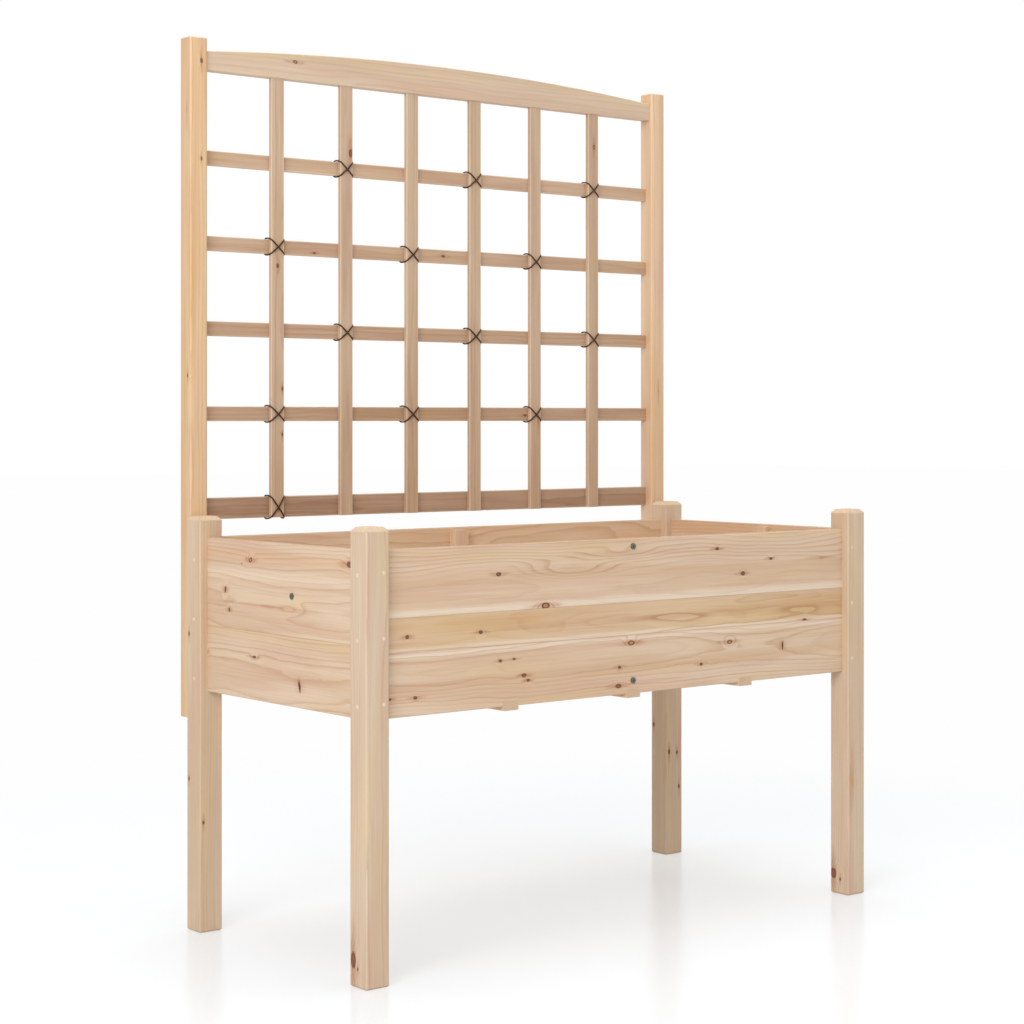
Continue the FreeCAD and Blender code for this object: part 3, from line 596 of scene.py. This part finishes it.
def makeScrew(head, thick):
    bpy.ops.object.select_all(action="DESELECT")
    size = head / screw["head"]
    middle = (0, 0, -thick / 2 * mm)
    bpy.ops.mesh.primitive_cylinder_add(vertices=32, radius=head / 2 * mm, depth=thick * mm, location=middle)
    piece = startPiece("screwMaster")
    flatFaces(piece, lambda face: face.normal.z > 0.9)
    for inward, rise in screw["domeSteps"]:
        bpy.ops.mesh.inset(thickness=head * inward * mm)
        bpy.ops.transform.translate(value=(0, 0, screw["dome"] * size * mm * rise))
    flatFaces(piece, lambda face: face.normal.z < -0.9)
    bpy.ops.mesh.inset(thickness=(head - screw["shank"] * size) / 2 * mm)
    bpy.ops.mesh.extrude_region_move(TRANSFORM_OT_translate={"value": (0, 0, -screw["long"] * size * mm)})
    bpy.ops.object.mode_set(mode="OBJECT")
    for turn in (0, math.pi / 2):
        bpy.ops.object.select_all(action="DESELECT")
        bpy.ops.mesh.primitive_cube_add(size=1, location=(0, 0, 0), rotation=(0, 0, turn))
        cutter = bpy.context.active_object
        cutter.scale = [screw[side] * size * mm for side in ("recessLong", "recessWide", "recessDeep")]
        bpy.ops.object.transform_apply(location=True, rotation=True, scale=True)
        flatFaces(cutter, lambda face: face.normal.z < -0.9)
        taper = (screw["recessTaper"], screw["recessTaper"], 1)
        bpy.ops.transform.resize(value=taper, center_override=(0, 0, 0))
        bpy.ops.object.mode_set(mode="OBJECT")
        cut = piece.modifiers.new("recess", "BOOLEAN")
        cut.operation = "DIFFERENCE"
        cut.object = cutter
        cut.solver = "EXACT"
        applyAll(piece)
        bpy.data.objects.remove(cutter)
    bpy.ops.object.select_all(action="DESELECT")
    piece.select_set(True)
    bpy.context.view_layer.objects.active = piece
    bpy.ops.object.shade_smooth_by_angle(angle=math.radians(32))
    return piece


def zincMaterial(name):
    graph = materialGraph(name)
    x, y, z = graph.split(graph.node("TexCoord", output=3))
    mottle = graph.noise(x * 900, y * 900, z * 900, detail=3.0)
    scratch = graph.noise(x * 2600, y * 400, z * 2600, detail=2.0)
    colour = graph.mix(shade(*screw["zinc"]), shade(*screw["zincWorn"]), graph.step(mottle, 0.4, 0.7))
    colour = graph.mix(colour, shade(*screw["rust"]), graph.step(scratch, 0.62, 0.78) * 0.5)
    bump = graph.node("Bump", None, {"Strength": 0.2, "Distance": 0.1 * mm, "Height": mottle})
    roughness = 0.36 + mottle * 0.3
    return graph.finish({"Base Color": colour, "Roughness": roughness, "Metallic": 0.85, "Normal": bump})


zinc = zincMaterial("dull_zinc")


def nodePlaces(node, count):
    # the box of each separate solid in a group node, found from its loose parts
    mesh = nodes[node].data
    parent = list(range(len(mesh.vertices)))

    def root(i):
        while parent[i] != i:
            parent[i] = parent[parent[i]]
            i = parent[i]
        return i

    seen = {}
    for vertex in mesh.vertices:
        key = tuple(round(c, 6) for c in vertex.co)
        if key in seen:
            parent[root(vertex.index)] = root(seen[key])
        seen[key] = vertex.index
    for face in mesh.polygons:
        first = face.vertices[0]
        for other in face.vertices[1:]:
            parent[root(other)] = root(first)
    groups = {}
    for vertex in mesh.vertices:
        groups.setdefault(root(vertex.index), []).append(vertex.co)
    boxes = []
    for corners in groups.values():
        low = Vector([min(c[i] for c in corners) for i in range(3)])
        high = Vector([max(c[i] for c in corners) for i in range(3)])
        boxes.append((low, high))
    assert len(boxes) == count, (node, len(boxes))
    return sorted(boxes, key=lambda pair: tuple(round(c, 4) for c in pair[0]))


def headPlaces(node, count, facing, sunk=0.0):
    # the middle of each solid's outer end, sunk a little, and the way it faces
    places = []
    for low, high in nodePlaces(node, count):
        middle = (low + high) / 2
        direction = Vector(facing(middle, high - low))
        outer = Vector([high[i] if direction[i] > 0 else low[i] for i in range(3)])
        place = Vector([outer[i] if abs(direction[i]) > 0.5 else middle[i] for i in range(3)])
        places.append((place - direction * (sunk * mm), direction))
    return places


def outward(middle, size):
    # along the solid's own length, away from the middle of the planter
    longest = max(range(3), key=lambda i: size[i])
    direction = [0.0, 0.0, 0.0]
    direction[longest] = 1.0 if middle[longest] > planterMiddle[longest] else -1.0
    return direction


planterMiddle = (0.0, -0.0195, 0.6)
screwGroups = {  # the CAD node: the new piece, head, its thickness, the way it faces, how far it is sunk
    "panel_screws": ("panel_screw_heads", 11.5, 1.8, outward, 0.0),
    "batten_screws": ("batten_screw_heads", 11.5, 1.8, lambda middle, size: (0, 0, -1), 1.4),
    "post_screws": ("post_screw_heads", 12.0, 2.4, lambda middle, size: (0, 1, 0), 0.9),
}
for node, (name, head, thick, facing, sunk) in screwGroups.items():
    screws = copies(makeScrew(head, thick), headPlaces(node, 6, facing, sunk), name)
    settle(screws, zinc)
    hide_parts(node)
pins = nodes["leg_pins"].data.materials
pins.clear()
pins.append(zinc)
print("screws made")

# Wooden plugs over the pins: turned pegs with a slightly crowned face.
plug = {
    "wide": 7.0, "loose": 0.97, "deep": 6.0, "sides": 24, "crown": 0.35, "crownSteps": ((0.5, 0.7), (1.4, 0.3)),
    "legAcross": 0.586, "legFront": -0.2855, "legRear": 0.2465,
    "pale": (230, 209, 184), "warm": (220, 194, 165), "late": (192, 154, 118),
}
bpy.ops.object.select_all(action="DESELECT")
bpy.ops.mesh.primitive_cylinder_add(vertices=plug["sides"], radius=plug["wide"] / 2 * mm * plug["loose"],
                                    depth=plug["deep"] * mm, location=(0, 0, -plug["deep"] / 2 * mm))
plugMaster = startPiece("plugMaster")
flatFaces(plugMaster, lambda face: face.normal.z > 0.9)
for inward, rise in plug["crownSteps"]:
    bpy.ops.mesh.inset(thickness=inward * mm)
    bpy.ops.transform.translate(value=(0, 0, plug["crown"] * mm * rise))
bpy.ops.object.mode_set(mode="OBJECT")
bpy.ops.object.shade_smooth_by_angle(angle=math.radians(40))


def plugFacing(middle, size):
    # out of the leg's face that the plug is in
    legX = math.copysign(plug["legAcross"], middle.x)
    legY = plug["legRear"] if middle.y > 0 else plug["legFront"]
    offset = middle - Vector((legX, legY, 0))
    if abs(offset.x) > abs(offset.y):
        return (math.copysign(1, offset.x), 0, 0)
    return (0, math.copysign(1, offset.y), 0)


plugs = copies(plugMaster, headPlaces("leg_plugs", 24, plugFacing), "leg_plug_faces")
plugGraph = materialGraph("plug_wood")
plugX, plugY, plugZ = plugGraph.split(plugGraph.node("TexCoord", output=3))
plugGrain = plugGraph.noise(plugX * 1500, plugY * 1500, plugZ * 420, detail=3.0)
plugTone = plugGraph.mix(shade(*plug["pale"]), shade(*plug["warm"]), plugGraph.step(plugGrain, 0.35, 0.7))
plugTone = plugGraph.mix(plugTone, shade(*plug["late"]), plugGraph.step(plugGrain, 0.6, 0.8) * 0.4)
plugBump = plugGraph.node("Bump", None, {"Strength": 0.3, "Distance": 0.2 * mm, "Height": plugGrain})
plugSockets = {"Base Color": plugTone, "Roughness": 0.5 + plugGrain * 0.2, "Normal": plugBump}
settle(plugs, plugGraph.finish(plugSockets))
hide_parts("leg_plugs")
print("plugs made")

# Lashings: two strands of stiff wire crossed over an upright and hooked behind the level slat.
lashing = {
    "wire": 3.0,
    "uprights": [(n - 2.5) * 161.0 for n in range(6)],
    "rows": {1: (1443.5, 28.0), 2: (1282.5, 28.0), 3: (1121.5, 28.0), 4: (960.5, 28.0), 5: (781.25, 40.5)},
    "tied": {1: (1, 3, 5), 2: (0, 2, 4), 3: (1, 3, 5), 4: (0, 2, 4), 5: (0,)},
    "plane": 290.0,
    "slat": 9.5,
    "layers": ((1, 0.2), (-1, 3.0)),
    "dark": (62, 36, 24), "brown": (98, 64, 44),
}


def makeStrand(name, tall, side, lift):
    # from behind the slat, over its edge, across the upright's front and down behind again
    edge = tall / 2
    front = -lashing["slat"] - lashing["wire"] / 2
    back = lashing["slat"] + lashing["wire"] / 2 + 0.2
    route = [
        (-17.5, back, edge - 8), (-18.2, back, edge - 1), (-18.6, 4.5, edge + 2.1), (-17.6, -2.0, edge + 2.2),
        (-14.5, front + 1.2, edge - 0.6), (-9.0, front - 0.2, edge * 0.58), (0.0, front - lift, 0.0),
        (9.0, front - 0.2, -edge * 0.58), (14.5, front + 1.2, -edge + 0.6), (17.6, -2.0, -edge - 2.2),
        (18.6, 4.5, -edge - 2.1), (18.2, back, -edge + 1), (17.5, back, -edge + 8),
    ]
    bpy.ops.object.select_all(action="DESELECT")
    bpy.ops.curve.primitive_nurbs_path_add(location=(0, 0, 0))
    strand = startPiece(name)
    spline = strand.data.splines[0]
    spline.points.add(len(route) - len(spline.points))
    for point, (across, deep, up) in zip(spline.points, route):
        point.co = (side * across * mm, deep * mm, up * mm, 1.0)
    spline.order_u = 3
    spline.use_endpoint_u = True
    strand.data.bevel_depth = lashing["wire"] / 2 * mm
    strand.data.bevel_resolution = 3
    strand.data.resolution_u = 5
    strand.data.use_fill_caps = True
    bpy.ops.object.convert(target="MESH")
    return bpy.context.active_object


def joinAll(pieces, name):
    bpy.ops.object.select_all(action="DESELECT")
    for piece in pieces:
        piece.select_set(True)
    bpy.context.view_layer.objects.active = pieces[0]
    bpy.ops.object.join()
    return startPiece(name)


tied = []
for tall in (28.0, 40.5):
    strands = [makeStrand("strand_%d" % side, tall, side, lift) for side, lift in lashing["layers"]]
    cross = joinAll(strands, "cross_%d" % tall)
    places = []
    for row, columns in lashing["tied"].items():
        height, rowTall = lashing["rows"][row]
        for column in columns if rowTall == tall else ():
            place = Vector((lashing["uprights"][column], lashing["plane"], height)) * mm
            places.append((place, (0, 0, 1)))
    tied.append(copies(cross, places, "lashings_%d" % tall))
ties = joinAll(tied, "lattice_lashings")
tieGraph = materialGraph("brown_wire")
tieX, tieY, tieZ = tieGraph.split(tieGraph.node("TexCoord", output=3))
tieGrain = tieGraph.noise(tieX * 700, tieY * 700, tieZ * 700, detail=3.0)
tieTone = tieGraph.mix(shade(*lashing["dark"]), shade(*lashing["brown"]), tieGraph.step(tieGrain, 0.4, 0.75))
tieBump = tieGraph.node("Bump", None, {"Strength": 0.4, "Distance": 0.3 * mm, "Height": tieGrain})
tieSockets = {
    "Base Color": tieTone, "Roughness": 0.5 + tieGrain * 0.2, "Specular IOR Level": 0.18, "Normal": tieBump,
}
settle(ties, tieGraph.finish(tieSockets))
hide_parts("lattice_ties")
print("lashings made")

# Floor, with the white of the studio for the camera and the planter's shadow kept.
studio = {
    "floorWide": 60.0, "floorTone": (0.93, 0.97, 1.0, 1.0), "floorRough": 0.2, "floorShine": 0.5,
    "whiteShare": 0.42, "white": 0.99, "shadowReach": 0.9, "whiteReach": 2.3, "ambient": 0.45,
}
bpy.ops.object.select_all(action="DESELECT")
bpy.ops.mesh.primitive_plane_add(size=studio["floorWide"], location=(0, 0, 0))
floor = startPiece("studio_floor")
bpy.ops.object.mode_set(mode="EDIT")
bpy.ops.mesh.subdivide(number_cuts=4)
bpy.ops.object.mode_set(mode="OBJECT")
floorGraph = materialGraph("studio_floor_white")
seen = floorGraph.seen()
floorX, floorY, floorZ = floorGraph.split(floorGraph.node("TexCoord", output=3))
fromMiddle = floorGraph.maths("SQRT", floorX * floorX + floorY * floorY)
openFloor = floorGraph.step(fromMiddle, studio["shadowReach"], studio["whiteReach"])
share = openFloor * (1 - studio["whiteShare"]) + studio["whiteShare"]
matteSockets = {
    "Base Color": studio["floorTone"], "Roughness": studio["floorRough"],
    "Specular IOR Level": studio["floorShine"],
}
matte = floorGraph.node("BsdfPrincipled", None, matteSockets)
glow = floorGraph.node("Emission", None, {"Color": (1, 1, 1, 1), "Strength": studio["white"]})
blend = floorGraph.node("MixShader", None, {0: seen * share, 1: matte, 2: glow})
floorGraph.node("OutputMaterial", None, {"Surface": blend})
floor.data.materials.append(floorGraph.owner)

world = bpy.data.worlds.new("studio")
bpy.context.scene.world = world
worldGraph = Graph(world)
ambient = worldGraph.node("Background", None, {"Color": (1, 1, 1, 1), "Strength": studio["ambient"]})
backdrop = worldGraph.node("Background", None, {"Color": (1, 1, 1, 1), "Strength": 1.0})
sky = worldGraph.node("MixShader", None, {0: worldGraph.seen(), 1: ambient, 2: backdrop})
worldGraph.node("OutputWorld", None, {"Surface": sky})

# Lamps: a wide soft key at the front left, a weak fill at the right and a broad overhead.
lamps = {
    "key": {"place": (-4.2, -2.6, 3.0), "aim": (0, 0, 0.7), "size": 2.6, "power": 145},
    "fill": {"place": (2.6, -4.6, 2.0), "aim": (0, 0, 0.6), "size": 3.0, "power": 18},
    "overhead": {"place": (0.3, 0.2, 4.6), "aim": (0, 0, 0), "size": 3.6, "power": 120},
}
for name, lamp in lamps.items():
    light = bpy.data.lights.new(name, "AREA")
    light.size = lamp["size"]
    light.energy = lamp["power"]
    holder = bpy.data.objects.new(name, light)
    bpy.context.scene.collection.objects.link(holder)
    holder.location = lamp["place"]
    away = Vector(lamp["place"]) - Vector(lamp["aim"])
    holder.rotation_euler = away.to_track_quat("Z", "Y").to_euler()

# Camera: level, turned to see the front and the left end, the frame shifted down as in the photograph.
camera = {
    "place": (-2.7328, -3.3260, 0.9511), "turn": 38.90, "sensor": 36.0, "farthest": 200.0,
    "focalPixels": 2216.3, "horizonPixel": 418.7, "imagePixels": 1024,
}
lens = bpy.data.cameras.new("camera")
lens.sensor_width = camera["sensor"]
lens.lens = camera["focalPixels"] / camera["imagePixels"] * lens.sensor_width
lens.shift_y = (camera["horizonPixel"] - camera["imagePixels"] / 2) / camera["imagePixels"]
lens.clip_end = camera["farthest"]
viewer = bpy.data.objects.new("camera", lens)
bpy.context.scene.collection.objects.link(viewer)
viewer.location = camera["place"]
viewer.rotation_euler = (math.radians(90), 0, -math.radians(camera["turn"]))
bpy.context.scene.camera = viewer
bpy.context.scene.view_settings.view_transform = "Standard"
print("camera and lamps set")
